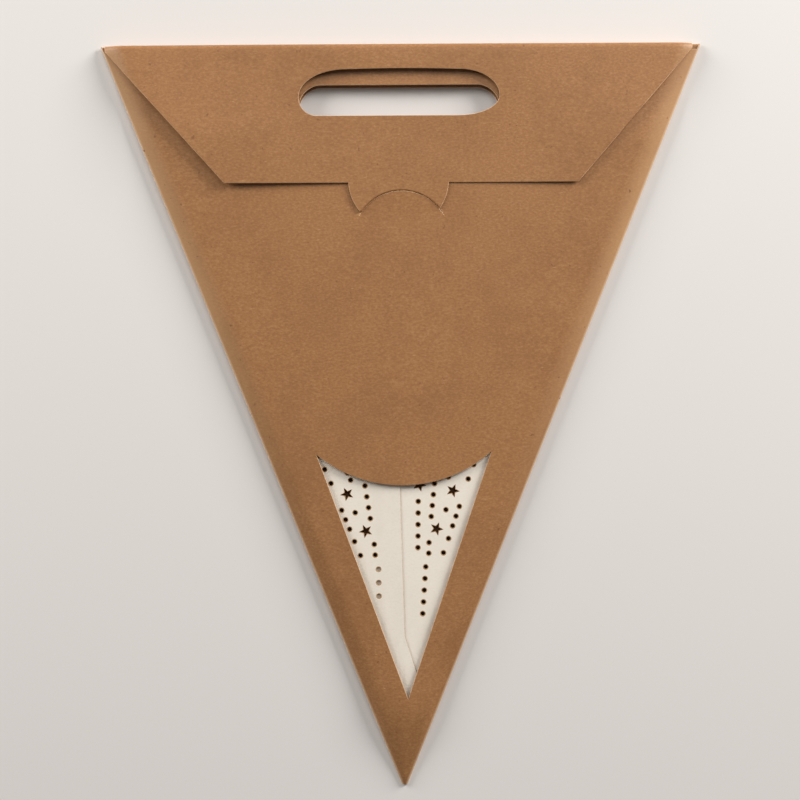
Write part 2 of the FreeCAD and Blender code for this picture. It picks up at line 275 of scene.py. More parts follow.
# %% Slit and tongue
SLIT_RADIUS = 23.7 * MM
SLIT_HALF_CHORD = 20.9 * MM
SLIT_CENTRE = (0.0, TOP_Y - 71.9 * MM - SLIT_RADIUS)
SLIT_END_Y = SLIT_CENTRE[1] + math.sqrt(SLIT_RADIUS**2 - SLIT_HALF_CHORD**2)
SLIT_POINTS = 61
TONGUE_RISE = 0.5 * MM
TONGUE_CURVE = 1.3
SLIT_INSIDE = 0.15 * MM
SLIT_OUTSIDE = 0.6 * MM
SLIT_NARROWING = 12


def from_slit(x, y):
    """Distance outside the slit's arc, negative inside."""
    return np.hypot(x - SLIT_CENTRE[0], y - SLIT_CENTRE[1]) - SLIT_RADIUS


def tongue_share(x, y):
    """0 along the slit's chord, rising to 1 at the top of its arc."""
    return np.clip((y - SLIT_END_Y) / (SLIT_CENTRE[1] + SLIT_RADIUS - SLIT_END_Y), 0, 1)


def slit_loop():
    """Slit outline: out along its outer side and back along its inner one."""
    opening = math.degrees(math.asin(SLIT_HALF_CHORD / SLIT_RADIUS))
    angles = np.radians(np.linspace(90 - opening, 90 + opening, SLIT_POINTS))
    width = np.clip((opening - np.abs(np.degrees(angles) - 90)) / SLIT_NARROWING, 0, 1) ** 0.5
    outer = [(SLIT_RADIUS + SLIT_OUTSIDE * w, a) for a, w in zip(angles, width)]
    inner = [(SLIT_RADIUS - SLIT_INSIDE * w, a) for a, w in zip(angles, width)]
    path = outer + inner[-2:0:-1]
    return [(SLIT_CENTRE[0] + r * math.cos(a), SLIT_CENTRE[1] + r * math.sin(a)) for r, a in path]


def back_height(x, y):
    """Outer face of the back panel, its tongue raised."""
    inside = from_slit(x, y) < 0
    return back_level(x, y) + np.where(inside, TONGUE_RISE * tongue_share(x, y) ** TONGUE_CURVE, 0)


slit = slit_loop()
print("Slit loop of", len(slit), "points")

# %% [markdown]
# The closing flap is folded over from the top edge. It narrows to a straight edge that carries the half-round
# tab. Its free edges stand a little off the panel, the left more than the right, and so they throw the soft
# shadow.

# %% Flap
FLAP_Y = TOP_Y - 67.8 * MM
FLAP_EDGE = 86.3 * MM
FLAP_GAP = 0.3 * MM
LEFT_LIFT = 3.6 * MM
RIGHT_LIFT = 1.8 * MM
TAB_RADIUS = 24.4 * MM
TAB_CENTRE = (-1.4 * MM, FLAP_Y + 1.4 * MM)
TAB_STEP = 0.45 * MM
TAB_SIDES = 72


def flap_height(x, y):
    """Outer face of the flap: over the panel, lifted at its sides, its tab going down through the slit."""
    lift = np.clip((WRAP_Y - y) / (WRAP_Y - SHOULDER_Y), 0, 1)
    side = across(x, y)
    lifted = lift * ((RIGHT_LIFT - LEFT_LIFT) / 2 * side + (RIGHT_LIFT + LEFT_LIFT) / 2 * side**2)
    over = back_level(x, y, TOP_EDGE_HEIGHT) + FLAP_GAP + CARD + lifted
    under = back_height(x, y) - CARD - FLAP_GAP / 2
    share = np.clip((TAB_STEP - from_slit(x, y)) / (1.5 * TAB_STEP), 0, 1)
    return over + (under - over) * share**2 * (3 - 2 * share)


def flap_loop(top_edge):
    """Flap outline, counter-clockwise from the left end of the top edge."""
    half = math.sqrt(TAB_RADIUS**2 - (TAB_CENTRE[1] - FLAP_Y) ** 2)
    dip = math.degrees(math.asin((TAB_CENTRE[1] - FLAP_Y) / TAB_RADIUS))
    tab = arc(TAB_CENTRE, (TAB_RADIUS, TAB_RADIUS), 180 + dip, 360 - dip, TAB_SIDES)
    loop = run(top_edge[0], (-FLAP_EDGE, FLAP_Y)) + run((-FLAP_EDGE, FLAP_Y), (TAB_CENTRE[0] - half, FLAP_Y))
    loop += tab[:-1] + run(tab[-1], (FLAP_EDGE, FLAP_Y)) + run((FLAP_EDGE, FLAP_Y), top_edge[-1])
    return loop + top_edge[:0:-1]


# %% [markdown]
# ## From outlines to card
# A flat sheet with holes is triangulated in plan. Points inside it, on a grid, let it follow the heights, and
# the grid is closer where the card bends. Then each point is lifted to its height. The sheets share points
# along their common edges, so they are welded into the one sheet that the real carrier is.


# %% Triangulate a sheet
PLAN_MERGE = 1e-7
BEND_SHARES = np.linspace(0.1, 0.92, 7)


def inside(points, loops):
    """Which points lie inside an odd number of loops."""
    points = np.asarray(points, float)
    odd = np.zeros(len(points), bool)
    for loop in loops:
        a = np.asarray(loop, float)
        b = np.roll(a, -1, axis=0)
        for (ax, ay), (bx, by) in zip(a, b):
            if ay != by:
                crossing = (ay > points[:, 1]) != (by > points[:, 1])
                odd ^= crossing & (points[:, 0] < ax + (points[:, 1] - ay) * (bx - ax) / (by - ay))
    return odd


def clear_of(points, loops, margin):
    """The points that keep a margin from every loop."""
    points = np.asarray(points, float)
    keep = np.ones(len(points), bool)
    for loop in loops:
        a = np.asarray(loop, float)
        b = np.roll(a, -1, axis=0)
        for start, side in zip(a, b - a):
            share = np.clip((points - start) @ side / max(side @ side, 1e-18), 0, 1)
            keep &= np.hypot(*(points - start - share[:, None] * side).T) > margin
    return points[keep]


def sheet(loops, grid, height, up=True, margin=0.8 * MM):
    """Triangulated sheet: vertices in space and faces that look up or down."""
    grid = np.asarray(grid, float)
    grid = clear_of(grid[inside(grid, loops)], loops, margin)
    points, edges = [], []
    for loop in loops:
        first = len(points)
        points += loop
        edges += [(first + i, first + (i + 1) % len(loop)) for i in range(len(loop))]
    points = [Vector(p) for p in points] + [Vector(p) for p in grid]
    made, _, faces, *_ = geometry.delaunay_2d_cdt(points, edges, [], 0, PLAN_MERGE)
    plan = np.array([tuple(p) for p in made])
    faces = np.array(faces)
    faces = faces[inside(plan[faces].mean(axis=1), loops)]
    vertices = np.column_stack([plan, height(plan[:, 0], plan[:, 1])])
    return vertices, faces if up else faces[:, ::-1]


def panel_grid(low, high):
    """Points over a panel, closer together where it bends down to its side folds."""
    places = []
    for y in np.arange(low, high, STEP):
        fold = float(fold_line(y))
        flat = fold - float(side_band(y))
        middle = np.arange(-math.floor(flat / STEP), math.floor(flat / STEP) + 1) * STEP
        bend = flat + (fold - flat) * BEND_SHARES
        places += [(x, y) for x in (*middle, *bend, *-bend)]
    return places


# %% [markdown]
# ## Thickness and cut edges
# Card and paper have a thickness, and a cut edge is slightly rounded and of another tone than the face; the
# card's cut edge is also painted paler as a highlight. The second face is set along the normals, and the rim
# between the two faces bulges a little, as a die leaves it.


# %% Give a sheet its thickness
RIM_BULGE = 0.3
RIM_DEPTHS = (0.3, 0.8)
SHARP_ANGLE = math.radians(38)


def thick_mesh(name, sheets, thickness, weld=0.01 * MM):
    """Mesh welded from sheets, with a second face and rounded cut edges; faces keep a material number."""
    bm = bmesh.new()
    for vertices, faces, *material in sheets:
        made = [bm.verts.new(v) for v in vertices]
        numbers = material[0] if material else np.zeros(len(faces), int)
        for face, number in zip(faces, numbers):
            bm.faces.new([made[i] for i in face]).material_index = int(number)
    bmesh.ops.remove_doubles(bm, verts=bm.verts, dist=weld)
    bmesh.ops.delete(bm, geom=[v for v in bm.verts if not v.link_faces], context="VERTS")
    bm.normal_update()
    faces = list(bm.faces)
    outward = {}
    rims = [e for e in bm.edges if e.is_boundary]
    for edge in rims:
        loop = edge.link_loops[0]
        along = (loop.link_loop_next.vert.co - loop.vert.co).normalized()
        away = along.cross(loop.face.normal)
        for vert in edge.verts:
            outward[vert] = outward.get(vert, Vector()) + away
    inner = {v: bm.verts.new(v.co - v.normal * thickness) for v in list(bm.verts)}
    middles = {}
    for vert, away in outward.items():
        bulge = away.normalized() * thickness * RIM_BULGE
        depths = [vert.normal * thickness * share for share in RIM_DEPTHS]
        middles[vert] = [bm.verts.new(vert.co - depth + bulge) for depth in depths]
    for face in faces:
        bm.faces.new([inner[v] for v in reversed(face.verts)])
    for edge in rims:
        loop = edge.link_loops[0]
        a, b = loop.vert, loop.link_loop_next.vert
        columns = [(v, *middles[v], inner[v]) for v in (a, b)]
        for i in range(3):
            rim = bm.faces.new([columns[1][i], columns[0][i], columns[0][i + 1], columns[1][i + 1]])
            rim.material_index = 1
    mesh = bpy.data.meshes.new(name)
    bm.to_mesh(mesh)
    bm.free()
    mesh.polygons.foreach_set("use_smooth", [True] * len(mesh.polygons))
    mesh.set_sharp_from_angle(angle=SHARP_ANGLE)
    return mesh


def piece(name, mesh, materials, node):
    """Object in the scene that rides on the part and stands for one of its nodes."""
    made = bpy.data.objects.new(name, mesh)
    bpy.context.scene.collection.objects.link(made)
    for material in materials:
        mesh.materials.append(material)
    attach(made, "root")
    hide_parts(node)
    print(name, len(mesh.polygons), "faces")


# %% [markdown]
# ## Kraft card
# Kraft card is unbleached pulp: warm brown, with a fine mottle, cloudy patches, a few dark specks of bark and
# some pale fibres. All of these are noise at different scales, so they sit in one node group that card, paper
# and their cut edges share, each with its own colours. The group also paints a highlight into the card beside
# its side folds, stronger towards the top, where light falls on the bend; the folds themselves are palest,
# partly because the fibres are stretched there and partly as a painted highlight of the lit fold.


# %% Node helpers
def link(tree, source, target):
    """Joins two sockets."""
    tree.links.new(source, target)


def group_socket(group, name, kind, way, default=None):
    """Named socket of a node group."""
    made = group.interface.new_socket(name, in_out=way, socket_type=kind)
    if default is not None:
        made.default_value = default
    return made


def linear(red, green, blue):
    """Colour as Blender counts it, from the values that a screen shows."""
    values = [v / 255 for v in (red, green, blue)]
    return (*[v / 12.92 if v < 0.04045 else ((v + 0.055) / 1.055) ** 2.4 for v in values], 1)


# %% Fibre group, shared by card and paper
# Painted highlight on the bend beside the side folds: none below y -60 mm, full from y 60 mm up, 11 mm wide.
SIDE_HIGHLIGHT_HEIGHT = (-60 * MM, 60 * MM)
SIDE_HIGHLIGHT_BAND = (11 * MM, 0)
# Pale fold line: partly stretched fibres, partly a painted highlight of the lit fold.
PALE_AND_LIT_FOLD_BAND = (1.2 * MM, 0.2 * MM)


def fibre_group():
    """Colour and height of fibrous sheet: mottle, clouds, dark specks, pale fibres and painted highlight by the
    folds.
    """
    group = bpy.data.node_groups.new("PressedFibres", "ShaderNodeTree")
    group_socket(group, "Colour", "NodeSocketColor", "INPUT", (0.5, 0.4, 0.3, 1))
    group_socket(group, "Dark", "NodeSocketColor", "INPUT", (0.3, 0.2, 0.1, 1))
    group_socket(group, "Pale", "NodeSocketColor", "INPUT", (0.8, 0.7, 0.6, 1))
    group_socket(group, "PaleAndLitFold", "NodeSocketColor", "INPUT", (0.9, 0.8, 0.7, 1))
    group_socket(group, "Mottle", "NodeSocketFloat", "INPUT", 0.5)
    group_socket(group, "Clouds", "NodeSocketFloat", "INPUT", 0.3)
    group_socket(group, "Specks", "NodeSocketFloat", "INPUT", 0.5)
    group_socket(group, "FoldHighlightAndPaleShare", "NodeSocketFloat", "INPUT", 0.0)
    group_socket(group, "Colour", "NodeSocketColor", "OUTPUT")
    group_socket(group, "Height", "NodeSocketFloat", "OUTPUT")
    nodes = group.nodes
    given = nodes.new("NodeGroupInput")
    result = nodes.new("NodeGroupOutput")
    place = nodes.new("ShaderNodeTexCoord").outputs["Object"]
    parts = nodes.new("ShaderNodeSeparateXYZ")
    link(group, place, parts.inputs["Vector"])

    def noise(scale, detail, rough, stretch=(1, 1, 1)):
        """Noise value over the object's own coordinates."""
        mapped = nodes.new("ShaderNodeMapping")
        mapped.inputs["Scale"].default_value = stretch
        made = nodes.new("ShaderNodeTexNoise")
        made.inputs["Scale"].default_value = scale
        made.inputs["Detail"].default_value = detail
        made.inputs["Roughness"].default_value = rough
        link(group, place, mapped.inputs["Vector"])
        link(group, mapped.outputs["Vector"], made.inputs["Vector"])
        return made.outputs["Fac"]

    def ranged(value, low, high):
        """Value spread from 0 at low to 1 at high."""
        made = nodes.new("ShaderNodeMapRange")
        made.inputs["From Min"].default_value = low
        made.inputs["From Max"].default_value = high
        link(group, value, made.inputs["Value"])
        return made.outputs["Result"]

    def times(first, second):
        """Product of two values."""
        made = nodes.new("ShaderNodeMath")
        made.operation = "MULTIPLY"
        link(group, first, made.inputs[0])
        link(group, second, made.inputs[1])
        return made.outputs["Value"]

    def from_fold():
        """Distance in from the carrier's side folds."""
        aside = nodes.new("ShaderNodeMath")
        aside.operation = "ABSOLUTE"
        half = nodes.new("ShaderNodeMath")
        half.operation = "MULTIPLY_ADD"
        half.inputs[1].default_value = TAPER
        half.inputs[2].default_value = half_width(0)
        distance = nodes.new("ShaderNodeMath")
        distance.operation = "SUBTRACT"
        link(group, parts.outputs["X"], aside.inputs[0])
        link(group, parts.outputs["Y"], half.inputs[0])
        link(group, half.outputs["Value"], distance.inputs[0])
        link(group, aside.outputs["Value"], distance.inputs[1])
        return distance.outputs["Value"]

    def mixed(share, first, second):
        """First colour, going over to the second by a share."""
        made = nodes.new("ShaderNodeMix")
        made.data_type = "RGBA"
        link(group, share, made.inputs["Factor"])
        link(group, first, made.inputs["A"])
        link(group, second, made.inputs["B"])
        return made.outputs["Result"]

    mottle = noise(1100, 4, 0.65, (0.6, 1, 1))
    clouds = noise(28, 6, 0.72)
    # Painted highlight beside the side folds, stronger towards the top.
    high_up = times(ranged(parts.outputs["Y"], *SIDE_HIGHLIGHT_HEIGHT), given.outputs["FoldHighlightAndPaleShare"])
    painted_side_highlight = times(ranged(from_fold(), *SIDE_HIGHLIGHT_BAND), high_up)
    # Pale fold line, partly stretched fibres and partly a painted highlight of the lit fold.
    pale_and_lit_fold = times(ranged(from_fold(), *PALE_AND_LIT_FOLD_BAND), given.outputs["FoldHighlightAndPaleShare"])
    darker = times(ranged(mottle, 0.52, 0.3), given.outputs["Mottle"])
    paler = times(ranged(mottle, 0.52, 0.74), given.outputs["Mottle"])
    cloudy = times(ranged(clouds, 0.56, 0.3), given.outputs["Clouds"])
    specks = times(ranged(noise(420, 2, 0.5), 0.7, 0.76), given.outputs["Specks"])
    fibres = times(ranged(noise(260, 2, 0.5, (1, 6, 1)), 0.71, 0.78), given.outputs["Specks"])
    colour = mixed(darker, given.outputs["Colour"], given.outputs["Dark"])
    colour = mixed(paler, colour, given.outputs["Pale"])
    colour = mixed(cloudy, colour, given.outputs["Dark"])
    colour = mixed(painted_side_highlight, colour, given.outputs["Pale"])
    colour = mixed(pale_and_lit_fold, colour, given.outputs["PaleAndLitFold"])
    colour = mixed(fibres, colour, given.outputs["Pale"])
    colour = mixed(specks, colour, given.outputs["Dark"])
    link(group, colour, result.inputs["Colour"])
    link(group, mottle, result.inputs["Height"])
    return group


fibres = fibre_group()
print("Group", fibres.name, "of", len(fibres.nodes), "nodes")


# %% Materials from the fibre group
# Colour of the fold line: pale stretched fibres, lightened further as a painted highlight.
PALE_AND_LIT_FOLD = linear(230, 196, 160)
RELIEF_DEPTH = 0.1 * MM


def fibre_material(name, colour, dark, pale, shares, roughness, bump):
    """Matt fibrous material; shares are those of mottle, clouds, specks, and painted highlight and pale fibres
    at the folds.
    """
    material = bpy.data.materials.new(name)
    material.use_nodes = True
    tree = material.node_tree
    shader = tree.nodes["Principled BSDF"]
    surface = tree.nodes.new("ShaderNodeGroup")
    surface.node_tree = fibres
    surface.inputs["Colour"].default_value = colour
    surface.inputs["Dark"].default_value = dark
    surface.inputs["Pale"].default_value = pale
    surface.inputs["PaleAndLitFold"].default_value = PALE_AND_LIT_FOLD
    for socket, share in zip(("Mottle", "Clouds", "Specks", "FoldHighlightAndPaleShare"), shares):
        surface.inputs[socket].default_value = share
    relief = tree.nodes.new("ShaderNodeBump")
    relief.inputs["Strength"].default_value = bump
    relief.inputs["Distance"].default_value = RELIEF_DEPTH
    link(tree, surface.outputs["Height"], relief.inputs["Height"])
    link(tree, relief.outputs["Normal"], shader.inputs["Normal"])
    link(tree, surface.outputs["Colour"], shader.inputs["Base Color"])
    shader.inputs["Roughness"].default_value = roughness
    shader.inputs["Specular IOR Level"].default_value = 0.5
    return material


KRAFT = linear(172, 120, 73)
KRAFT_DARK = linear(134, 87, 49)
KRAFT_PALE = linear(206, 158, 110)
# The card's cut edge: its own paler tone, made paler still as a painted highlight where the edge catches the
# light.
KRAFT_CUT_AND_HIGHLIGHT = linear(236, 196, 154)
KRAFT_CUT_HIGHLIGHT_PALE = linear(246, 214, 178)
KRAFT_SHARES = (0.44, 0.35, 0.8, 0.75)
kraft = fibre_material("KraftCard", KRAFT, KRAFT_DARK, KRAFT_PALE, KRAFT_SHARES, 0.5, 0.35)
kraft_edge_and_highlight = fibre_material("KraftCutEdgeAndHighlight", KRAFT_CUT_AND_HIGHLIGHT, KRAFT, KRAFT_CUT_HIGHLIGHT_PALE, (0.4, 0.1, 0.2), 0.95, 0.6)

# %% [markdown]
# The paper is white and smooth, with a much fainter mottle. Its holes were cut with heat, which browned their
# walls and a thin ring of paper round each, so its cut edge is a scorched tan.

# %% Paper and its cut edge
PAPER_WHITE = linear(252, 241, 225)
PAPER_DARK = linear(236, 222, 203)
PAPER_PALE = linear(254, 247, 236)
SCORCH = linear(196, 158, 114)
SCORCH_DARK = linear(120, 84, 50)
SCORCH_PALE = linear(214, 180, 140)
paper = fibre_material("LanternPaper", PAPER_WHITE, PAPER_DARK, PAPER_PALE, (0.3, 0.3, 0.1), 0.8, 0.2)
paper_edge = fibre_material("PaperCutEdge", SCORCH, SCORCH_DARK, SCORCH_PALE, (0.4, 0.1, 0), 0.9, 0.4)
print("Materials", [m.name for m in (kraft, kraft_edge_and_highlight, paper, paper_edge)])

# %% [markdown]
# ## The carrier
# Front panel, side folds, back panel, the wrap round the open end and the closing flap are one sheet. The
# panels and the flap are triangulated from their outlines. The folds and the wrap are strips between the
# panels' edges. The wrap stops a little short of the side folds, which run on beside it as small ears.


# %% Strips of card
FOLD_TURNS = 9
WRAP_TURNS = 7
WRAP_SHARE = 0.48


def strip(rows):
    """Quads between rows of points that follow each other."""
    vertices = np.array([point for row in rows for point in row])
    width = len(rows[0])
    faces = []
    for r in range(len(rows) - 1):
        for c in range(width - 1):
            a = r * width + c
            faces.append((a, a + 1, a + 1 + width, a + width))
    return vertices, faces


def side_fold(side, places):
    """Rounded fold along one side, from the front panel's edge to the back panel's."""
    rows = []
    for y in places:
        turns = np.radians(np.linspace(-90, 90, FOLD_TURNS))
        out = fold_line(y) + FOLD_RADIUS * np.cos(turns)
        high = fold_height(y) + FOLD_RADIUS * np.sin(turns)
        rows.append([(side * x, y, z) for x, z in zip(out, high)])
    return strip(rows if side < 0 else [row[::-1] for row in rows])


def wrap(xs):
    """Card carried round the open end, from the front panel's edge to the flap's."""
    low = front_height(xs, WRAP_Y)
    high = flap_height(xs, WRAP_Y)
    radius = np.minimum(WRAP_RADIUS, WRAP_SHARE * (high - low))
    turns = np.radians(np.linspace(0, 90, WRAP_TURNS))
    rows = []
    for turn, base, way in [(t, low, 1) for t in turns] + [(t, high, -1) for t in turns[::-1]]:
        ys = np.full(len(xs), WRAP_Y + WRAP_RADIUS * math.sin(turn))
        rows.append(np.column_stack([xs, ys, base + way * radius * (1 - math.cos(turn))])[::-1])
    return strip(rows)


# %% Loops of the panels, sharing points with the folds
LEFT_EAR = 0.5 * MM
RIGHT_EAR = 2.9 * MM
EAR_END_Y = TOP_Y - 0.3 * MM
side_places = np.append(np.arange(TIP_Y, BACK_END_Y, STEP), [BACK_END_Y, WRAP_Y, EAR_END_Y])
wrap_left = (-float(fold_line(WRAP_Y)) + LEFT_EAR, WRAP_Y)
wrap_right = (float(fold_line(WRAP_Y)) - RIGHT_EAR, WRAP_Y)
end_xs = np.array([p[0] for p in run(wrap_left, wrap_right)] + [wrap_right[0]])
left_edge = [(-float(fold_line(y)), float(y)) for y in side_places]
right_edge = [(float(fold_line(y)), float(y)) for y in side_places]
ear_ends = [(wrap_right[0], EAR_END_Y), (wrap_left[0], EAR_END_Y)]
front_top = [ear_ends[0]] + [(float(x), WRAP_Y) for x in end_xs[::-1]] + [ear_ends[1]]
back_right, back_left = right_edge[:-2], left_edge[:-2]
back_loop = back_right + run(back_right[-1], back_left[-1])[1:] + back_left[::-1]
front_loop = right_edge + front_top + left_edge[::-1]
print("Back loop of", len(back_loop), "points")

# %% Build the carrier
RINGS_OUT = np.array([1.6, 1.0, 0.6, 0.3, 0, -0.3, -0.6, -1.2]) * MM
RING_SPAN = (20, 160, 64)
RING_CLEARANCE = 2.2 * MM
grid = panel_grid(TIP_Y + STEP, WRAP_Y - STEP / 2)
slit_rings = [arc(SLIT_CENTRE, (SLIT_RADIUS + out,) * 2, *RING_SPAN) for out in RINGS_OUT]
slit_middle = arc(SLIT_CENTRE, (SLIT_RADIUS,) * 2, *RING_SPAN)
flap_grid = clear_of(grid, [slit_middle], RING_CLEARANCE).tolist() + sum(slit_rings, [])
flap_outline = flap_loop([(float(x), WRAP_Y) for x in end_xs])
carrier_sheets = [
    sheet([back_loop, window, back_slot, slit], grid, back_height),
    sheet([front_loop, front_slot], grid, front_height, up=False),
    side_fold(-1, side_places),
    side_fold(1, side_places),
    wrap(end_xs),
    sheet([flap_outline, flap_slot], flap_grid, flap_height, margin=0.2 * MM),
]
carrier_mesh = thick_mesh("card_carrier", carrier_sheets, CARD)
piece("card_carrier", carrier_mesh, [kraft, kraft_edge_and_highlight], "carrier")

# %% [markdown]
# ## The lantern's points
# Each point is one sheet of white paper, folded along its two long creases and glued along an overlap that
# runs up the middle. Pressed flat it is two plies thick, three at the overlap. The dots and stars go through
# both plies, so the holes line up from point to point and look like deep, dark wells.

# %% Outline of a point
NOTCH_DEPTH = 68.0 * MM
POINT_LENGTH = SHOULDER_Y - STAR_TIP_Y
SHOULDER_X = float(half_width(SHOULDER_Y)) - 17.6 * MM
STAR_TURN = math.radians(1.55)
STAR_SHIFT = 1.34 * MM
CREASE_RADIUS = PAPER + PLY_GAP / 2
CREASE_TURNS = 7
SEAM_WIDTH = 8.0 * MM
CHAMFER_START = 39.0 * MM
CHAMFER_SLOPE = 4.6 / 16.0
SEAM_CURL = 0.18 * MM
SEAM_RISE = 1.1 * PAPER
RIDGE_HEIGHT = 0.06 * MM
RIDGE_WIDTH = 0.45 * MM
RIDGE_PLACES = (-2.4 * MM, -4.1 * MM)
SEAM_COLUMNS = np.array([-12, -10.7, -9.4, -8, -5, -4.5, -4.1, -3.7, -2.8, -2.4, -2, -1.4, -0.9]) * MM
VALLEY = POINT_LENGTH - NOTCH_DEPTH
print("Point", round(POINT_LENGTH / MM, 1), "mm long and", round(2 * SHOULDER_X / MM, 1), "mm wide")


# %% Punched pattern
DOT_RADIUS = 1.15 * MM
STAR_RADIUS = 3.5 * MM
STAR_WAIST = 1.35 * MM
STAR_LEAN = 12.0
SCORCH_WIDTH = 0.3 * MM
MIRRORED_RUNS = [
    ((13.1, 78.8), (13.4, 84.0), 2),
    ((14.9, 96.7), (17.7, 118.1), 5),
    ((22.2, 99.8), (22.2, 99.8), 1),
    ((20.3, 78.8), (23.0, 85.7), 2),
    ((25.2, 91.8), (28.8, 101.2), 3),
    ((23.9, 115.8), (25.3, 119.4), 2),
    ((33.6, 114.5), (39.3, 128.3), 3),
]
RIGHT_RUNS = [((9.2, 49.4), (11.4, 72.2), 5), ((7.9, 81.7), (8.8, 104.3), 5)]
LEFT_RUNS = [((-11.9, 58.7), (-11.7, 71.8), 3)]
MIRRORED_STARS = [(17.3, 90.6), (25.9, 109.0)]
RIGHT_STARS = [(9.7, 112.4)]


def run_centres(runs):
    """Centres of evenly spaced dots along straight runs, in metres."""
    centres = []
    for start, end, count in runs:
        for share in np.linspace(0, 1, count):
            centres.append(tuple((np.array(start) + (np.array(end) - start) * share) * MM))
    return centres


def star_loop(x, y, lean, grown):
    """Five-pointed star, one arm leaning outwards."""
    radii = [STAR_RADIUS + grown, STAR_WAIST + grown] * 5
    angles = np.radians(lean - 90 + 36 * np.arange(10))
    return [(x + r * math.cos(a), y + r * math.sin(a)) for r, a in zip(radii, angles)]


def punch_loops(with_left_run, grown=0):
    """Loops of every punched hole, or loops that lie a little outside them."""
    mirrored = run_centres(MIRRORED_RUNS)
    centres = mirrored + [(-x, y) for x, y in mirrored] + run_centres(RIGHT_RUNS)
    centres += run_centres(LEFT_RUNS) if with_left_run else []
    loops = [arc(centre, (DOT_RADIUS + grown,) * 2, 0, 342, 19) for centre in centres]
    for x, y in MIRRORED_STARS:
        loops += [star_loop(x * MM, y * MM, STAR_LEAN, grown), star_loop(-x * MM, y * MM, -STAR_LEAN, grown)]
    return loops + [star_loop(x * MM, y * MM, STAR_LEAN, grown) for x, y in RIGHT_STARS]


print("Punched holes", len(punch_loops(True)))

# %% Creases of a point
PLY_STEP = 9.0 * MM
SIDE_SLOPE = SHOULDER_X / POINT_LENGTH
NOTCH_SLOPE = NOTCH_DEPTH / SHOULDER_X
CREASE_INSET = CREASE_RADIUS * math.hypot(1, SIDE_SLOPE)
CREASE_LOW = CREASE_INSET / SIDE_SLOPE
CREASE_HIGH = (VALLEY - NOTCH_SLOPE * CREASE_INSET) / (1 - NOTCH_SLOPE * SIDE_SLOPE)
CHAMFER_END = (CHAMFER_START * CHAMFER_SLOPE + CREASE_INSET) / (SIDE_SLOPE + CHAMFER_SLOPE)
crease_ys = np.sort(np.append(np.arange(CREASE_LOW, CREASE_HIGH, PLY_STEP), [CHAMFER_END, CREASE_HIGH]))


def crease_points(side, low=CREASE_LOW, high=CREASE_HIGH):
    """Points along one crease from low to high, just inside the outline."""
    return [(side * (SIDE_SLOPE * float(y) - CREASE_INSET), float(y)) for y in crease_ys if low <= y <= high]


print("Crease of", len(crease_points(1)), "points")

# %% [markdown]
# The overlap is where the left half of the sheet lies on the right half's margin. The left half rises there
# by one thickness of paper and curls up a little at its edge, which is the line that shows in the window.
# Below, the edge slants to the right crease.


# %% Plies of a point
def seam_rise(x, y):
    """How far the left half is lifted by the margin under it, with two faint ridges from the press."""
    onto = np.clip((x + 1.5 * SEAM_WIDTH) / (0.5 * SEAM_WIDTH), 0, 1)
    off = np.clip((SIDE_SLOPE * y - x) / (6 * MM), 0, 1)
    ridges = sum(np.exp(-(((x - place) / RIDGE_WIDTH) ** 2)) for place in RIDGE_PLACES)
    curl = np.clip((x + 2 * MM) / (2 * MM), 0, 1) ** 2
    return (SEAM_RISE * onto**2 * (3 - 2 * onto) + RIDGE_HEIGHT * ridges + SEAM_CURL * curl) * off


def left_loop():
    """Left half of the upper ply, with the tip and the overlap's edge."""
    tip_side = crease_points(1, high=CHAMFER_END)[::-1]
    left_side = crease_points(-1)[1:]
    seam = run((0, VALLEY), (0, CHAMFER_START), PLY_STEP) + run((0, CHAMFER_START), tip_side[0])
    return seam + tip_side + left_side + run(left_side[-1], (0, VALLEY), PLY_STEP)[1:]


def right_loop():
    """Right half of the upper ply, with the margin that the overlap hides."""
    side = crease_points(1, low=CHAMFER_END)
    margin_top = (-SEAM_WIDTH, VALLEY + NOTCH_SLOPE * SEAM_WIDTH)
    margin_low = (-SEAM_WIDTH, CHAMFER_START + SEAM_WIDTH)
    loop = side + run(side[-1], (0, VALLEY), PLY_STEP)[1:] + run((0, VALLEY), margin_top)
    loop += run(margin_top, margin_low, PLY_STEP) + run(margin_low, (0, CHAMFER_START))
    return loop + run((0, CHAMFER_START), side[0])


def whole_loop():
    """Lower ply, which has no overlap."""
    right, left = crease_points(1), crease_points(-1)[::-1]
    ends = run(right[-1], (0, VALLEY), PLY_STEP)[1:] + run((0, VALLEY), left[0], PLY_STEP)
    return right + ends + left[:-1]


def ply_grid():
    """Points over a ply, with close columns where the overlap lifts it."""
    xs = np.append(np.arange(-SHOULDER_X, SHOULDER_X, PLY_STEP) + PLY_STEP / 2, SEAM_COLUMNS)
    return [(x, y) for y in np.arange(0, POINT_LENGTH, PLY_STEP) for x in xs]


# %% Build one point
def crease_strip(side, middle):
    """Rounded fold along a crease, from the upper ply's edge to the lower one's."""
    outward = np.array([side, -SIDE_SLOPE]) / math.hypot(1, SIDE_SLOPE)
    rows = []
    for x, y in crease_points(side):
        row = []
        for turn in np.radians(np.linspace(90, -90, CREASE_TURNS)):
            bulge = outward * CREASE_RADIUS * math.cos(turn)
            row.append((x + bulge[0], y + bulge[1], middle + CREASE_RADIUS * math.sin(turn)))
        rows.append(row[::side])
    return strip(rows)


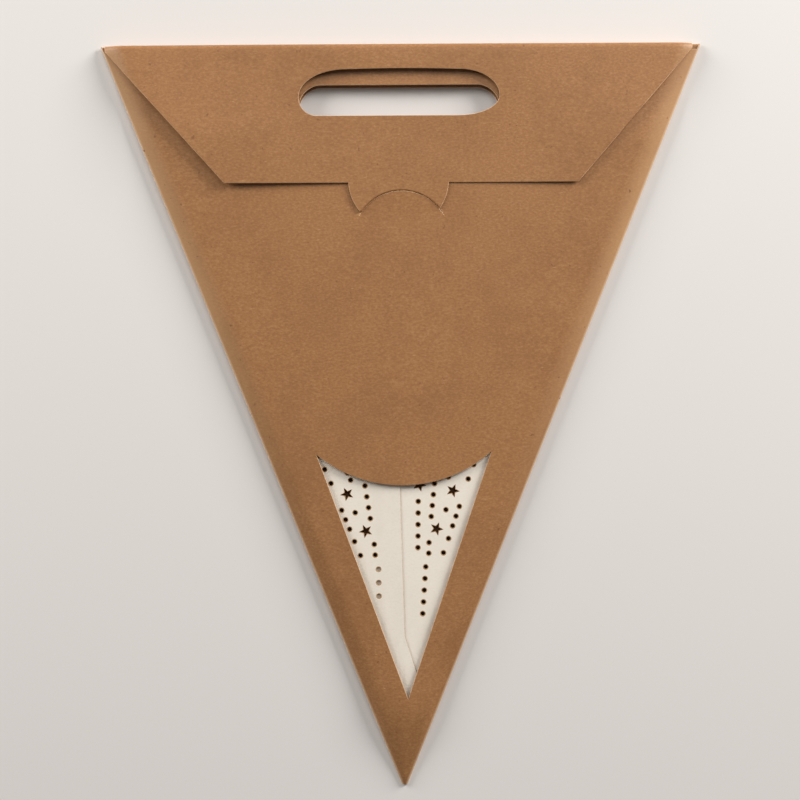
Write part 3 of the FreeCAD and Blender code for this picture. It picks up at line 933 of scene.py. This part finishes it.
def point_sheets(number):
    """Sheets of one point in its own frame, at its level in the stack."""
    base = CARD + BED_GAP + (POINT_COUNT - number) * POINT_PITCH
    middle = base + CREASE_RADIUS
    loops = punch_loops(number == 1)
    rings = punch_loops(number == 1, SCORCH_WIDTH)
    left_holes = [loop for loop in loops if loop[0][0] < 0]
    right_holes = [loop for loop in loops if loop[0][0] > 0]
    top = middle + CREASE_RADIUS

    def ply(outline, holes, height, up=True):
        """One ply, its paper browned in a ring round each hole."""
        grid = ply_grid() + [point for ring in rings for point in ring]
        vertices, faces = sheet([outline, *holes], grid, height, up, SCORCH_WIDTH / 2)
        return vertices, faces, inside(vertices[faces].mean(axis=1)[:, :2], rings)

    return [
        ply(left_loop(), left_holes, lambda x, y: top + seam_rise(x, y)),
        ply(right_loop(), right_holes, lambda x, y: top + 0 * x),
        ply(whole_loop(), loops, lambda x, y: base + 0 * x, up=False),
        crease_strip(-1, middle),
        crease_strip(1, middle),
    ]


def placed(vertices, shift, turn):
    """Vertices of a point, turned and moved to where it lies in the pocket."""
    cosine, sine = math.cos(STAR_TURN + turn), math.sin(STAR_TURN + turn)
    x, y, z = vertices.T
    across_x = STAR_SHIFT + shift[0] + x * cosine - y * sine
    along_y = STAR_TIP_Y + shift[1] + x * sine + y * cosine
    return np.column_stack([across_x, along_y, z])


LOOSE_SHIFT = 0.12
LOOSE_TURN = 0.0006
draws = np.random.default_rng(5)
for number in range(1, POINT_COUNT + 1):
    shift = draws.uniform(-LOOSE_SHIFT, LOOSE_SHIFT, 2) * MM if number > 1 else (0, 0)
    turn = draws.uniform(-LOOSE_TURN, LOOSE_TURN) if number > 1 else 0
    sheets = [(placed(vertices, shift, turn), *rest) for vertices, *rest in point_sheets(number)]
    name = "paper_point_" + str(number)
    mesh = thick_mesh(name, sheets, PAPER)
    piece(name, mesh, [paper, paper_edge], "star_point_" + str(number))

# %% [markdown]
# ## Table, light and camera
# The carrier lies on a plain pale table and is seen from straight above. The light is soft and comes low
# from both sides, stronger from the right, so the lifted left edge of the flap shades the panel beside it.


# %% Table
TABLE_SIZE = 3.0
TABLE_DROP = 0.05 * MM
TABLE_COLOUR = linear(241, 235, 229)
TABLE_ROUGHNESS = 0.7


def table():
    """Flat pale floor, a hair below the card."""
    half = TABLE_SIZE / 2
    mesh = bpy.data.meshes.new("table_top")
    corners = [(-half, -half), (half, -half), (half, half), (-half, half)]
    mesh.from_pydata([(x, y, -TABLE_DROP) for x, y in corners], [], [(0, 1, 2, 3)])
    made = bpy.data.objects.new("table_top", mesh)
    bpy.context.scene.collection.objects.link(made)
    material = bpy.data.materials.new("PaleTable")
    material.use_nodes = True
    shader = material.node_tree.nodes["Principled BSDF"]
    shader.inputs["Base Color"].default_value = TABLE_COLOUR
    shader.inputs["Roughness"].default_value = TABLE_ROUGHNESS
    mesh.materials.append(material)


table()


# %% Lamps and world
def soft_lamp(name, location, size, watts):
    """Square lamp that faces the middle of the carrier."""
    data = bpy.data.lights.new(name, "AREA")
    data.size = size
    data.energy = watts
    made = bpy.data.objects.new(name, data)
    made.location = location
    made.rotation_euler = (-Vector(location)).to_track_quat("-Z", "Y").to_euler()
    bpy.context.scene.collection.objects.link(made)


soft_lamp("right_light", (1.35, 0.95, 0.65), 0.75, 31.5)
soft_lamp("left_light", (-1.35, 0.8, 0.65), 0.75, 19)
soft_lamp("top_light", (0.2, 0.7, 1.1), 0.6, 2.8)
SKY_COLOUR = (1, 0.99, 0.98, 1)
SKY_STRENGTH = 0.12
world = bpy.data.worlds.new("studio")
bpy.context.scene.world = world
world.use_nodes = True
sky = world.node_tree.nodes["Background"]
sky.inputs["Color"].default_value = SKY_COLOUR
sky.inputs["Strength"].default_value = SKY_STRENGTH

# %% Camera
CAMERA_HEIGHT = 1.15
CAMERA_PLACE = (-1.3 * MM, 7.2 * MM)
VIEW_WIDTH = 392 * MM
VIEW_LEVEL = 3 * MM
CAMERA_ROLL = math.radians(-0.34)

camera_data = bpy.data.cameras.new("camera")
camera_data.lens = camera_data.sensor_width * (CAMERA_HEIGHT - VIEW_LEVEL) / VIEW_WIDTH
camera = bpy.data.objects.new("camera", camera_data)
camera.location = (*CAMERA_PLACE, CAMERA_HEIGHT)
camera.rotation_euler = (0, 0, CAMERA_ROLL)
bpy.context.scene.collection.objects.link(camera)
bpy.context.scene.camera = camera
bpy.context.scene.view_settings.view_transform = "Standard"
print("Lens", round(camera_data.lens, 1), "mm")

# %% [markdown]
# ## Finish
# The view layer is updated once more at the end. The dressed part has to stay in the box of the imported
# model.

# %% Finish
bpy.context.view_layer.update()
